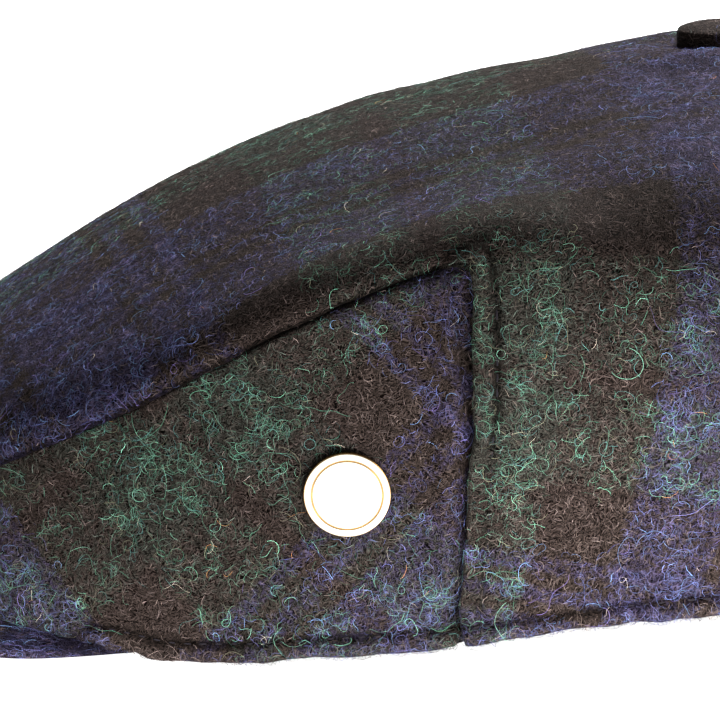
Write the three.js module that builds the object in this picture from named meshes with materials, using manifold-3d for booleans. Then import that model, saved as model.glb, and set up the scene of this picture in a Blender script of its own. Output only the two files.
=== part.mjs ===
// Tweed flat cap: a one-piece crown, two side panels, a covered peak, a covered button and a riveted badge.
// Millimetres, +Z up, peak towards -Y, wearer's left side towards +X. The cap stands on its hem and peak.
import * as THREE from "three";
import { mergeVertices } from "three/addons/utils/BufferGeometryUtils.js";
import Module from "manifold-3d";

const { clamp, degToRad, lerp, smoothstep } = THREE.MathUtils;

// Cloth
const CLOTH = 2.2; // wall of milled tweed
const GAP = 0.3; // between neighbouring pieces
const OVERHANG = 2; // how much more the crown's rolled edge stands out over the panel at the front

// Peak
const PEAK_HALF = 85.5; // half width at the temples
const PEAK_BACK = -63; // the line across the temples
const PEAK_REACH = 88; // from that line to the peak's front edge
const OPENING_HALF = 76; // half width of the head opening at that line
const OPENING_REACH = 31; // from that line to the opening's front
const PEAK_THICK = 3.6;
const PEAK_END_THICK = 1.1; // at the temples, where the peak runs out under the hem
const PEAK_TAPER = 0.3; // share of the sweep over which the ends thin out
const PEAK_ARCH = 9; // rise of the middle over the sides
const HEM_LIFT = 4; // how far behind the peak's ends the hem already lifts over them
const PEAK_ROUND = 1.2; // rounding of the covered edge
const PEAK_STEPS = 44;

// Button
const BUTTON_Y = 36;
const BUTTON_ACROSS = 17;
const BUTTON_HIGH = 4.6;
const BUTTON_EDGE = 2; // height of its side below the dome

// Badge and its hidden rivet
const BADGE_TURN = 123.6;
const BADGE_LEVEL = 0.455; // share of the panel's height
const BADGE_ACROSS = 15.5;
const BADGE_THICK = 1.3;
const BADGE_RIM = 0.7; // width of the sloping rim
const POST_ACROSS = 3;
const POST_HOLE = 3.8;
const FLANGE_ACROSS = 8;
const FLANGE_THICK = 0.8;
const ROUND_STEPS = 32;
const RIVET_STEPS = 16;

// The left half in sections, from the middle of the back round to the middle of the front. A section starts
// at the button's axis and heads out at the angle turn. Its hem, edge, brow and roof are points so far out
// and so high up. In front of the seam the edge is the crown's own. In front of the temple the hem lies on
// the peak.
const APEX = 101.5;
const APEX_SLOPE = 0.05; // rise of the cloth towards the back under the button
const SEAM_TURN = 114;
const TEMPLE_TURN = 139;
const TIP_TURN = 169; // where the side panel runs out at the front
const SEAM_BOW = 1.8; // how far back the side seam curves between hem and edge
const SEAM_BOW_REACH = 6; // in degrees to either side of it
const COLUMNS = [
  "turn", "hemTurn", "hemOut", "hemUp", "edgeOut", "edgeUp", "browOut", "browUp", "roofOut", "roofUp",
];
const SECTIONS = [
  [0, 0, 55, 0, 66, 59, 60, 77, 33, 95], // middle of the back
  [24, 24, 56, 0, 67, 60, 61, 78, 33, 95],
  [52, 52, 59.5, 3.6, 70.5, 65, 64, 80, 34, 95], // back quarter
  [90, 90, 65.5, 7.4, 78, 71, 71, 83, 40, 94.6], // beside the button
  [SEAM_TURN, 116.8, 89.1, 3, 92.5, 74.2, 88.5, 80.5, 50, 90.4], // side seam
  [127.3, 128.5, 111, 1.4, 108.7, 63.9, 106.5, 71, 60, 87.4], // middle of the side panel
  [140, TEMPLE_TURN, 131.5, 0, 130.3, 45, 127.5, 54, 73, 83.6], // temple
  [147.8, 148, 147.8, 0, 146.2, 33.2, 142.6, 43.3, 84, 79.6],
  [160, 160, 166, 0, 165.5, 18, 162, 29, 94, 76], // front quarter
  [TIP_TURN, TIP_TURN, 174, 0, 173.5, 14.5, 169, 24.5, 98, 74.5], // tip of the side panel
  [180, 180, 177, 0, 177, 13, 172, 24, 100, 74], // middle of the front
];

// Columns of the loft between these turns, and its rows
const SPANS = [
  { from: 0, to: SEAM_TURN, columns: 22 },
  { from: SEAM_TURN, to: 140, columns: 10 },
  { from: 140, to: TIP_TURN, columns: 11 },
  { from: TIP_TURN, to: 180, columns: 4 },
];
const WALL_ROWS = 9;
const ROOF_ROWS = 12;
const ROOF_CROWDING = 1.35; // over 1 sets the roof's rows closer together near the edge

// Soft swellings and hollows of the crown: middle, reach and height along the surface's normal
const FOLDS = [
  { name: "corner swelling", x: 81, y: 7, z: 78, reach: 12, height: 1.8 },
  { name: "side hollow", x: 72, y: 20, z: 83, reach: 12, height: -3.2 },
  { name: "button dimple", x: 0, y: BUTTON_Y, z: APEX, reach: 13, height: -1.6 },
];

const TWEED = { color: 0x2b2b30, roughness: 0.95, metalness: 0 };
const GILT = { color: 0xe6cf9a, roughness: 0.2, metalness: 1 };
const STEEL = { color: 0x9a9a98, roughness: 0.4, metalness: 1 };

// The rows again, with those next to the middle plane mirrored past it
const mirrored = ([turn, hemTurn, ...sizes], about) => [2 * about - turn, 2 * about - hemTurn, ...sizes];
const allRows = [
  mirrored(SECTIONS[2], 0),
  mirrored(SECTIONS[1], 0),
  ...SECTIONS,
  mirrored(SECTIONS.at(-2), 180),
  mirrored(SECTIONS.at(-3), 180),
];
const between = new THREE.CubicInterpolant(allRows.map(([turn]) => turn), allRows.flat(), COLUMNS.length);

// The sizes of the section at any turn, between the rows of the table
function sectionAt(turn) {
  const values = between.evaluate(turn);
  return Object.fromEntries(COLUMNS.map((name, i) => [name, values[i]]));
}

// How far round the peak a place lies: 0 at the temples, 1 in the middle
function peakSweep(x, y) {
  const angle = Math.atan2((PEAK_BACK - y) / PEAK_REACH, Math.abs(x) / PEAK_HALF);
  return clamp(angle / (Math.PI / 2), 0, 1);
}

function peakBottom(x) {
  return PEAK_ARCH * (1 - smoothstep(Math.abs(x) / PEAK_HALF, 0.15, 0.95));
}

function peakTop(x, y) {
  const thick = smoothstep(peakSweep(x, y), 0, PEAK_TAPER);
  return peakBottom(x) + lerp(PEAK_END_THICK, PEAK_THICK, thick);
}

// A place so far out from the button's axis. Turn 0 is the back, and 90 the wearer's left.
function place(turn, out, up) {
  const angle = degToRad(turn);
  return new THREE.Vector3(out * Math.sin(angle), BUTTON_Y + out * Math.cos(angle), up);
}

function ontoPeak(point) {
  return point.setZ(peakTop(point.x, point.y) + GAP);
}

// An even run along a stretch of a curve, as a function of the share of its length
function evenly(curve, from, to) {
  const fine = 80;
  const points = Array.from({ length: fine + 1 }, (_, i) => curve.getPoint(lerp(from, to, i / fine)));
  const lengths = [0];
  for (let i = 1; i <= fine; i++) lengths.push(lengths[i - 1] + points[i].distanceTo(points[i - 1]));
  return (share) => {
    const wanted = share * lengths[fine];
    let i = 1;
    while (i < fine && lengths[i] < wanted) i++;
    return points[i - 1].clone().lerp(points[i], (wanted - lengths[i - 1]) / (lengths[i] - lengths[i - 1]));
  };
}

// A section's curve: its wall from hem to edge, and its roof from there to the apex
const curves = new Map();
function sectionCurve(turn) {
  if (!curves.has(turn)) {
    const s = sectionAt(turn);
    const hem = place(s.hemTurn, s.hemOut, Math.max(0, s.hemUp));
    const edge = place(turn, s.edgeOut, s.edgeUp);
    if (s.hemTurn >= TEMPLE_TURN) ontoPeak(hem);
    if (turn > TIP_TURN) {
      ontoPeak(edge);
      hem.copy(edge).setZ(edge.z - PEAK_THICK);
    }
    const brow = place(turn, s.browOut, s.browUp);
    const roof = place(turn, s.roofOut, s.roofUp);
    const apex = place(turn, 0, APEX);
    const slope = APEX_SLOPE * Math.cos(degToRad(turn));
    const beyond = place(turn, -s.roofOut, s.roofUp - 2 * slope * s.roofOut);
    const curve = new THREE.CatmullRomCurve3([hem, edge, brow, roof, apex, beyond], false, "centripetal");
    curves.set(turn, { wall: evenly(curve, 0, 1 / 5), roof: evenly(curve, 1 / 5, 4 / 5) });
  }
  return curves.get(turn);
}

// The cap's outer surface over the left half: level 0 is the hem, 1 the edge and 2 the apex
function onSurface(turn, level) {
  const { wall, roof } = sectionCurve(turn);
  if (level > 1) return roof(level - 1);
  const fade = Math.exp(-(((turn - SEAM_TURN) / SEAM_BOW_REACH) ** 2));
  const point = wall(level);
  point.y += SEAM_BOW * fade * 4 * level * (1 - level);
  return point;
}

// Its outward normal, level with the floor along the hem
function normalAt(turn, level) {
  const turnStep = 0.4;
  const levelStep = 0.02;
  if (level > 2 - levelStep / 2) return new THREE.Vector3(0, 0, 1);
  const ahead = onSurface(Math.min(turn + turnStep, 180), level);
  const behind = onSurface(Math.max(turn - turnStep, 0), level);
  const above = onSurface(turn, Math.min(level + levelStep, 2));
  const below = onSurface(turn, Math.max(level - levelStep, 0));
  const normal = above.sub(below).cross(ahead.sub(behind));
  if (turn === 0 || turn === 180) normal.x = 0;
  if (level === 0) normal.z = 0;
  return normal.normalize();
}

// The surface with its folds, moved in by depth
function clothAt(turn, level, depth) {
  const point = onSurface(turn, level);
  const normal = normalAt(turn, level);
  let swell = 0;
  for (const { x, y, z, reach, height } of FOLDS) {
    const away = point.distanceTo(new THREE.Vector3(x, y, z)) / reach;
    swell += height * Math.exp(-away * away);
  }
  return point.addScaledVector(normal, swell - depth);
}

// A geometry with shared vertices, less the triangles that lose their area where vertices meet
function welded(positions, triangles) {
  const loose = new THREE.BufferGeometry();
  loose.setAttribute("position", new THREE.Float32BufferAttribute(positions, 3));
  loose.setIndex(triangles);
  const geometry = mergeVertices(loose, 1e-4);
  const kept = [];
  for (let i = 0; i < triangles.length; i += 3) {
    const [a, b, c] = geometry.index.array.slice(i, i + 3);
    if (a !== b && b !== c && c !== a) kept.push(a, b, c);
  }
  geometry.setIndex(kept);
  return geometry;
}

// A closed wall over the cells of a grid. skin gives the point of a column and row on side 0, the outside,
// or side 1, the inside.
function gridWall(columns, rows, hasCell, skin) {
  const positions = [];
  const triangles = [];
  const numbers = new Map();
  const vertex = (side, column, row) => {
    const key = `${side} ${column} ${row}`;
    if (!numbers.has(key)) {
      numbers.set(key, positions.length / 3);
      positions.push(...skin(side, column, row).toArray());
    }
    return numbers.get(key);
  };
  const quad = (a, b, c, d) => triangles.push(a, b, c, a, c, d);
  for (let i = 0; i < columns; i++) {
    for (let j = 0; j < rows; j++) {
      if (!hasCell(i, j)) continue;
      const corners = [[i, j], [i + 1, j], [i + 1, j + 1], [i, j + 1]];
      const neighbours = [[i, j - 1], [i + 1, j], [i, j + 1], [i - 1, j]];
      quad(...corners.toReversed().map(([a, b]) => vertex(0, a, b)));
      quad(...corners.map(([a, b]) => vertex(1, a, b)));
      neighbours.forEach(([a, b], side) => {
        if (hasCell(a, b)) return;
        const from = corners[side];
        const to = corners[(side + 1) % 4];
        quad(vertex(0, ...from), vertex(0, ...to), vertex(1, ...to), vertex(1, ...from));
      });
    }
  }
  return welded(positions, triangles);
}

// Levels of the rows, and turns of the columns over the left half
function rowLevel(row) {
  return row <= WALL_ROWS ? row / WALL_ROWS : 1 + ((row - WALL_ROWS) / ROOF_ROWS) ** ROOF_CROWDING;
}

const halfTurns = SPANS.flatMap(({ from, to, columns }) =>
  Array.from({ length: columns }, (_, i) => lerp(from, to, i / columns))).concat(180);
const halfCount = halfTurns.length - 1;

// One shell over the top, back and sides, open in front of the seams for the side panels
function crownGeometry() {
  const around = 2 * halfCount;
  const rows = WALL_ROWS + ROOF_ROWS;
  const wrapped = (column) => (column + around) % around;
  const hasCell = (column, row) => {
    if (row < 0) return false;
    if (row >= WALL_ROWS) return true;
    const fromBack = Math.min(wrapped(column), around - 1 - wrapped(column));
    return fromBack < SPANS[0].columns;
  };
  const skin = (side, column, row) => {
    const i = wrapped(column);
    const turn = halfTurns[Math.min(i, around - i)];
    const point = clothAt(turn, rowLevel(row), side * CLOTH);
    if (turn > TIP_TURN && row === WALL_ROWS) ontoPeak(point);
    return i > halfCount ? point.setX(-point.x) : point;
  };
  return gridWall(around, rows, hasCell, skin);
}

// A side panel's surface lies one cloth inside the crown's, and deeper under its rolled edge at the front
function panelAt(turn, level, depth) {
  const forward = smoothstep(turn, SEAM_TURN, TIP_TURN);
  return clothAt(turn, level, CLOTH + GAP + OVERHANG * forward * Math.min(level, 1) + depth);
}

// It runs on under the crown by one column behind the seam and one row above the edge
function panelGeometry() {
  const first = SPANS[0].columns - 1;
  const turns = halfTurns.slice(first, halfTurns.indexOf(TIP_TURN) + 1);
  const columns = turns.length - 1;
  const rows = WALL_ROWS + 1;
  const hasCell = (column, row) => column >= 0 && column < columns && row >= 0 && row < rows;
  const skin = (side, column, row) => {
    const point = panelAt(turns[column], rowLevel(row), side * CLOTH);
    if (row === 0 && point.y < PEAK_BACK + HEM_LIFT) ontoPeak(point);
    return point;
  };
  return gridWall(columns, rows, hasCell, skin);
}

// The other side's copy, with its faces turned to point out again
function mirrorCopy(geometry) {
  const copy = geometry.clone().scale(-1, 1, 1);
  const index = copy.index.array;
  for (let i = 0; i < index.length; i += 3) [index[i], index[i + 1]] = [index[i + 1], index[i]];
  return copy;
}

// A plate between the head opening's front and the peak's outer edge, swept from temple to temple
function peakGeometry() {
  // Places across the plate, from the opening (0) to the outer edge (1), on the bottom (0) or top (1)
  const across = [
    { out: 0, up: 0 }, { out: 0.35, up: 0 }, { out: 0.7, up: 0 }, { out: 1, up: 0, back: PEAK_ROUND },
    { out: 1, up: 0.3 }, { out: 1, up: 0.7 },
    { out: 1, up: 1, back: PEAK_ROUND }, { out: 0.7, up: 1 }, { out: 0.35, up: 1 }, { out: 0, up: 1 },
  ];
  const positions = [];
  const triangles = [];
  for (let step = 0; step <= PEAK_STEPS; step++) {
    const angle = (Math.PI * step) / PEAK_STEPS;
    for (const { out, up, back = 0 } of across) {
      const half = lerp(OPENING_HALF, PEAK_HALF, out) - back;
      const reach = lerp(OPENING_REACH, PEAK_REACH, out) - back;
      const x = half * Math.cos(angle);
      const y = PEAK_BACK - reach * Math.sin(angle);
      positions.push(x, y, lerp(peakBottom(x), peakTop(x, y), up));
    }
  }
  const count = across.length;
  for (let step = 0; step < PEAK_STEPS; step++) {
    for (let i = 0; i < count; i++) {
      const next = (i + 1) % count;
      const [a, b] = [step * count + i, step * count + next];
      triangles.push(a, b + count, a + count, a, b, b + count);
    }
  }
  const last = PEAK_STEPS * count;
  for (let i = 0; i < count / 2 - 1; i++) {
    const [a, b] = [i, i + 1];
    const [c, d] = [count - 2 - i, count - 1 - i];
    triangles.push(a, c, b, a, d, c);
    triangles.push(last + a, last + b, last + c, last + a, last + c, last + d);
  }
  return welded(positions, triangles);
}

// A turned piece from radii and heights along its axis, which is then +Z
function turned(profile, steps) {
  const points = profile.map(([radius, height]) => new THREE.Vector2(radius, height));
  const lathe = new THREE.LatheGeometry(points, steps).rotateX(Math.PI / 2);
  return welded([...lathe.attributes.position.array], [...lathe.index.array]);
}

function buttonGeometry() {
  const radius = BUTTON_ACROSS / 2;
  const dome = Array.from({ length: 6 }, (_, i) => {
    const angle = (Math.PI / 2) * (1 - i / 6);
    return [radius * Math.sin(angle), BUTTON_EDGE + (BUTTON_HIGH - BUTTON_EDGE) * Math.cos(angle)];
  });
  return turned([[0, 0], [radius - 1, 0], [radius, 0.8], ...dome, [0, BUTTON_HIGH]], ROUND_STEPS);
}

function badgeGeometry() {
  const radius = BADGE_ACROSS / 2;
  const face = radius - BADGE_RIM;
  const profile = [[0, 0], [radius, 0], [radius, BADGE_THICK * 0.55], [face, BADGE_THICK], [0, BADGE_THICK]];
  return turned(profile, ROUND_STEPS);
}

// The flange lies inside the panel, and the post ends under the badge
function rivetGeometry() {
  const flange = FLANGE_ACROSS / 2;
  const post = POST_ACROSS / 2;
  const length = FLANGE_THICK + GAP + CLOTH;
  const profile = [
    [0, 0], [flange, 0], [flange, FLANGE_THICK],
    [post, FLANGE_THICK], [post, length], [0, length],
  ];
  return turned(profile, RIVET_STEPS);
}

const wasm = await Module();
wasm.setup();

function solidOf(geometry) {
  const vertProperties = new Float32Array(geometry.attributes.position.array);
  const triVerts = new Uint32Array(geometry.index.array);
  return new wasm.Manifold(new wasm.Mesh({ numProp: 3, vertProperties, triVerts }));
}

function geometryOf(solid) {
  const { vertProperties, triVerts } = solid.getMesh();
  const geometry = new THREE.BufferGeometry();
  geometry.setAttribute("position", new THREE.BufferAttribute(vertProperties, 3));
  geometry.setIndex(new THREE.BufferAttribute(triVerts, 1));
  return geometry;
}

const cap = new THREE.Group();

function addPiece(name, geometry, finish, parent = cap) {
  const piece = new THREE.Mesh(geometry, new THREE.MeshStandardMaterial(finish));
  piece.name = name;
  parent.add(piece);
  return piece;
}

// The badge's own frame: its origin on the panel's surface and +Z along the normal there
const badgeFrame = new THREE.Group();
const badgeAt = (turnStep, levelStep) => panelAt(BADGE_TURN + turnStep, BADGE_LEVEL + levelStep, 0);
const badgeAlong = badgeAt(0.5, 0).sub(badgeAt(-0.5, 0));
const badgeRise = badgeAt(0, 0.05).sub(badgeAt(0, -0.05));
const badgeNormal = badgeRise.cross(badgeAlong).normalize();
badgeFrame.position.copy(badgeAt(0, 0));
badgeFrame.quaternion.setFromUnitVectors(new THREE.Vector3(0, 0, 1), badgeNormal);
badgeFrame.updateMatrix();
cap.add(badgeFrame);

const panel = panelGeometry();
const drillEnd = 2 * CLOTH;
const drillRadius = POST_HOLE / 2;
const drillProfile = [[0, -drillEnd], [drillRadius, -drillEnd], [drillRadius, drillEnd], [0, drillEnd]];
const drill = turned(drillProfile, RIVET_STEPS).applyMatrix4(badgeFrame.matrix);
const drilledPanel = geometryOf(solidOf(panel).subtract(solidOf(drill)));

addPiece("crown", crownGeometry(), TWEED);
addPiece("left_side_panel", drilledPanel, TWEED);
addPiece("right_side_panel", mirrorCopy(panel), TWEED);
addPiece("peak", peakGeometry(), TWEED);
const button = addPiece("top_button", buttonGeometry(), TWEED);
button.position.copy(clothAt(0, 2, -GAP));
button.rotation.x = Math.atan(APEX_SLOPE);
addPiece("badge", badgeGeometry(), GILT, badgeFrame).position.z = GAP;
addPiece("badge_rivet", rivetGeometry(), STEEL, badgeFrame).position.z = -(CLOTH + GAP + FLANGE_THICK);

// The origin lies on the floor under the middle of the cap's outline
const outline = new THREE.Box3().setFromObject(cap);
const middle = outline.getCenter(new THREE.Vector3());
cap.position.set(-middle.x, -middle.y, -outline.min.z);

export default cap;
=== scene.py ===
import math

import bpy
import numpy as np
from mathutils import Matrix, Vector, noise
from mathutils.bvhtree import BVHTree


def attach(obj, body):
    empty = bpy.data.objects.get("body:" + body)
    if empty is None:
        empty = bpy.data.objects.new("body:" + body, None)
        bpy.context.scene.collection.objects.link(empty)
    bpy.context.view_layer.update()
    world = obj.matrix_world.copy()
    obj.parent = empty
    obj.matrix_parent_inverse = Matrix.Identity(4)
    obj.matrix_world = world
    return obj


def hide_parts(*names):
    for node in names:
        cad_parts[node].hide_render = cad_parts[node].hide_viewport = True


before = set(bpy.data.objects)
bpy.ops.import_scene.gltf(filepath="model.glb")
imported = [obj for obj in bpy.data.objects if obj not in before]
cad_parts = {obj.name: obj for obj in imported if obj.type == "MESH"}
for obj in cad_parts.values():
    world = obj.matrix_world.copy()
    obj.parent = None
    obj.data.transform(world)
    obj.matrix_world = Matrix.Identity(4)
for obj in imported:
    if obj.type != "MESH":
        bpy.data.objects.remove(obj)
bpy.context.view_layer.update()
mm = 0.001
print("frame loaded:", ", ".join(sorted(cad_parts)))

# camera at the photograph's place: 8 degrees behind the left side, 13 above level
view = {
    "target": (66.98 * mm, 0.84 * mm, 52.39 * mm),
    "rear": 8,
    "elevation": 13,
    "distance": 0.9,
    "lens": 250,
    "sensorWidth": 36,
    "clipStart": 0.01,
}
rear = math.radians(view["rear"])
elevation = math.radians(view["elevation"])
backward = Vector((
    math.cos(rear) * math.cos(elevation),
    math.sin(rear) * math.cos(elevation),
    math.sin(elevation),
))
cameraAt = Vector(view["target"]) + backward * view["distance"]
bpy.ops.object.select_all(action="DESELECT")
bpy.ops.object.camera_add(location=cameraAt, rotation=backward.to_track_quat("Z", "Y").to_euler())
camera = bpy.context.object
camera.data.lens = view["lens"]
camera.data.sensor_width = view["sensorWidth"]
camera.data.clip_start = view["clipStart"]
bpy.context.scene.camera = camera


def linear(hexColour):  # sRGB hex to linear
    parts = [int(hexColour[i:i + 2], 16) / 255 for i in (1, 3, 5)]
    return [p / 12.92 if p <= 0.04045 else ((p + 0.055) / 1.055) ** 2.4 for p in parts]


def addNode(tree, kind, settings=None, links=None, values=None):
    node = tree.nodes.new("ShaderNode" + kind)
    for key, value in (settings or {}).items():
        setattr(node, key, value)
    for socket, value in (values or {}).items():
        node.inputs[socket].default_value = value
    for socket, source in (links or {}).items():
        tree.links.new(source, node.inputs[socket])
    return node


def addMath(tree, operation, *terms):  # a term is a number or another node's output
    numbers = {i: term for i, term in enumerate(terms) if isinstance(term, (int, float))}
    sources = {i: term for i, term in enumerate(terms) if i not in numbers}
    return addNode(tree, "Math", {"operation": operation}, sources, numbers).outputs[0]


def addRange(tree, value, low, high, to=(0, 1), curve="LINEAR"):
    limits = {"From Min": low, "From Max": high, "To Min": to[0], "To Max": to[1]}
    return addNode(tree, "MapRange", {"interpolation_type": curve}, {"Value": value}, limits).outputs[0]


def addNoise(tree, place, sizeMm, **values):
    values["Scale"] = 1 / (sizeMm * mm)
    return addNode(tree, "TexNoise", None, {"Vector": place}, values).outputs


def addPush(tree, field, reachMm, place):  # moves a place the way a colour noise says
    centred = addNode(tree, "VectorMath", {"operation": "SUBTRACT"}, {0: field}, {1: (0.5, 0.5, 0.5)})
    return addNode(tree, "VectorMath", {"operation": "MULTIPLY_ADD"},
                   {0: centred.outputs[0], 2: place}, {1: (reachMm * mm,) * 3}).outputs[0]


def newMaterial(name, values):  # with values for the shader's own sockets
    material = bpy.data.materials.new(name)
    material.use_nodes = True
    shader = material.node_tree.nodes["Principled BSDF"]
    for socket, value in values.items():
        shader.inputs[socket].default_value = value
    return material, material.node_tree, shader


def newPiece(name, mesh):
    piece = bpy.data.objects.new(name, mesh)
    bpy.context.scene.collection.objects.link(piece)
    return piece


def enter(mode):
    bpy.ops.object.mode_set(mode=mode)


def only(piece):  # the one selected and active object
    bpy.ops.object.select_all(action="DESELECT")
    piece.select_set(True)
    bpy.context.view_layer.objects.active = piece


def smooth(piece):
    only(piece)
    bpy.ops.object.shade_smooth()


def selectParts(piece, kind, chosen):  # leaves the piece in edit mode with these faces or edges selected
    only(piece)
    enter("EDIT")
    bpy.ops.mesh.select_mode(type=kind)
    bpy.ops.mesh.select_all(action="DESELECT")
    enter("OBJECT")
    parts = piece.data.polygons if kind == "FACE" else piece.data.edges
    parts.foreach_set("select", chosen)
    enter("EDIT")


def applyModifier(piece, kind, settings):
    only(piece)
    modifier = piece.modifiers.new(kind.title(), kind)
    for key, value in settings.items():
        setattr(modifier, key, value)
    bpy.ops.object.modifier_apply(modifier=modifier.name)


def vertexArray(mesh, key="co"):
    flat = np.empty(len(mesh.vertices) * 3)
    mesh.vertices.foreach_get(key, flat)
    return flat.reshape(-1, 3)


def loopArray(mesh, key="vertex_index"):
    values = np.empty(len(mesh.loops), int)
    mesh.loops.foreach_get(key, values)
    return values


def mapArray(mesh):  # places on the flat map, one for each corner
    flat = np.empty(len(mesh.loops) * 2)
    mesh.uv_layers["cloth"].data.foreach_get("uv", flat)
    return flat.reshape(-1, 2)


def readMark(mesh, name):
    values = np.empty(len(mesh.vertices))
    mesh.attributes[name].data.foreach_get("value", values)
    return values


def writeMark(mesh, name, values):
    mesh.attributes.new(name, "FLOAT", "POINT").data.foreach_set("value", values)


def unit(vectors):
    return vectors / np.maximum(np.linalg.norm(vectors, axis=-1, keepdims=True), 1e-9)


def surfaceTree(piece):
    mesh = piece.data
    return BVHTree.FromPolygons(vertexArray(mesh).tolist(), [list(face.vertices) for face in mesh.polygons])


# the tartan: half a repeat in threads, turned back on itself at both ends
tartan = {
    "stripes": (
        ("blue", 12), ("black", 4), ("blue", 4), ("black", 4), ("blue", 4), ("black", 20),
        ("green", 24), ("black", 6), ("green", 24), ("black", 20),
        ("blue", 22), ("black", 4), ("blue", 2),
    ),
    "ground": {"blue": "#332d3d", "black": "#312926", "green": "#302e2a"},
    "blur": 0.9,  # threads over which one stripe runs into the next
    "wander": 1.5,  # how far, in mm, milling moves a stripe's edge
}
halfRepeat = sum(count for _, count in tartan["stripes"])
stripeEnds = np.cumsum([count for _, count in tartan["stripes"]])
stripeNames = [name for name, _ in tartan["stripes"]]

# how each piece was cut: thread spacing and grain angle on its flat map, and the threads at the map's origin
cuts = {
    "crown": {"threadMm": (0.924, -0.837), "turn": 17.6, "phase": (74, 94)},
    "left_side_panel": {"threadMm": (-0.78, 0.78), "turn": -45, "phase": (38, 38)},
    "right_side_panel": {"threadMm": (-0.78, 0.78), "turn": -45, "phase": (38, 38)},
    "peak": {"threadMm": (0.85, 0.85), "turn": 0, "phase": (61, 41)},
    "top_button": {"threadMm": (0.85, 0.85), "turn": 20, "phase": (45, 88)},
}


def stripesAt(thread):  # index into stripeNames for an array of thread numbers
    folded = np.abs((thread + halfRepeat) % (2 * halfRepeat) - halfRepeat)
    return np.minimum(np.searchsorted(stripeEnds, folded, side="right"), len(stripeNames) - 1)


def threadsAt(cut, flat):  # thread numbers both ways for points of the flat map
    c, s = math.cos(math.radians(cut["turn"])), math.sin(math.radians(cut["turn"]))
    ways = flat @ np.array([[c, s], [-s, c]])
    return np.array(cut["phase"]) + ways / (np.array(cut["threadMm"]) * mm)


# milled wool tweed: matt, short brown fibres felted at every angle, with coloured curls lying over them
tweed = {
    "clumpMm": 0.8,  # size of the spots where one yarn or the other shows
    "clumpEdge": (0.4, 0.6),  # noise values between which one yarn gives way to the other
    "feltMm": (0.15, 0.8),  # width and length of a felted fibre, drawn coarser than real wool so that it shows
    "feltEdge": (0.4, 0.66),
    "feltTurns": ((0, 0, 0), (62, 10, 25)),  # one layer lies along the hem, one across it
    "feltMix": (0.46, 0.56),  # noise values between which one layer gives way to the other
    "flowMm": (3.0, 0.8),  # how often and how far the fibres bend
    "curlMm": (3.4, 2.3),  # size of the curls
    "curlShift": (3.1, 1.7, 2.3),  # keeps the second layer of curls off the first
    "curlLine": 0.035,
    "curlEnds": (0.44, 0.58),  # noise values between which a curl breaks off
    "curlHue": 0.018,  # how far from brown a stripe is where all its curls show
    "blackCurls": 0.12,  # share of them that shows in the black
    "dark": 0.03,  # how deep the gaps between fibres are
    "feltGain": 1.02,
    "curlGain": 1.2,
    "pressedLoss": 0.7,  # painted shade: share of light taken out of the cloth's colour in the stitched grooves and along the crown's folded edge
    "bumpMm": 0.4,
    "bumpStrength": 0.7,
    "roughness": 0.9,
    "specular": 0.02,
}


def addStripes(tree, across, cut, way):  # the colour of one set of threads
    thread = addMath(tree, "MULTIPLY_ADD", across, 1 / (cut["threadMm"][way] * mm), cut["phase"][way])
    folded = addMath(tree, "PINGPONG", thread, halfRepeat)
    ramp = addNode(tree, "ValToRGB", None, {0: addMath(tree, "DIVIDE", folded, halfRepeat)})
    stops = ramp.color_ramp.elements
    for i, stripe in enumerate(stripeNames):
        colour = linear(tartan["ground"][stripe]) + [1]
        begin = (stripeEnds[i - 1] + tartan["blur"] / 2) / halfRepeat if i else 0
        end = (stripeEnds[i] - tartan["blur"] / 2) / halfRepeat
        if i == 0:
            stops[0].position, stops[1].position = begin, end
            stops[0].color = stops[1].color = colour
        else:
            stops.new(begin).color = colour
            stops.new(end).color = colour
    return ramp.outputs[0]


def addFelt(tree, place):  # felted fibres are streaks that a slow noise bends
    bends = addNoise(tree, place, tweed["flowMm"][0], Detail=1.0)
    bent = addPush(tree, bends["Color"], 4 * tweed["flowMm"][1], place)
    wide, long = (size * mm for size in tweed["feltMm"])
    streaks = []
    for turn in tweed["feltTurns"]:
        laid = addNode(tree, "Mapping", {"vector_type": "TEXTURE"}, {"Vector": bent},
                       {"Rotation": [math.radians(angle) for angle in turn], "Scale": (wide, long, wide)})
        field = addNode(tree, "TexNoise", None, {"Vector": laid.outputs[0]},
                        {"Scale": 1.0, "Detail": 1.5, "Roughness": 0.6})
        streaks.append(addRange(tree, field.outputs["Fac"], *tweed["feltEdge"], curve="SMOOTHSTEP"))
    across = addRange(tree, bends["Fac"], *tweed["feltMix"])
    return addNode(tree, "Mix", None, {"Factor": across, "A": streaks[0], "B": streaks[1]}).outputs[0]


def addCurls(tree, place, ground):  # a curl is the thin line where a warped noise crosses its middle value
    lines = []
    for step, size in enumerate(tweed["curlMm"]):
        shift = [step * part for part in tweed["curlShift"]]
        moved = addNode(tree, "Mapping", None, {"Vector": place}, {"Location": shift})
        field = addNoise(tree, moved.outputs[0], size, Detail=0.6, Roughness=0.4, Distortion=1.2)
        away = addMath(tree, "ABSOLUTE", addMath(tree, "SUBTRACT", field["Fac"], 0.5))
        lines.append(addRange(tree, away, 0, tweed["curlLine"], (1, 0), "SMOOTHSTEP"))
    broken = addNoise(tree, place, tweed["curlMm"][0], Detail=2.0, Roughness=0.5)
    ends = addRange(tree, broken["Fac"], *tweed["curlEnds"])
    # they show in the blue and green stripes more than in the black
    red, green, blue = addNode(tree, "SeparateColor", None, {0: ground}).outputs
    hue = addMath(tree, "SUBTRACT", addMath(tree, "MAXIMUM", green, blue), red)
    share = addRange(tree, hue, 0, tweed["curlHue"], (tweed["blackCurls"], 1))
    return addMath(tree, "MULTIPLY", addMath(tree, "MAXIMUM", *lines), addMath(tree, "MULTIPLY", ends, share))


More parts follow.
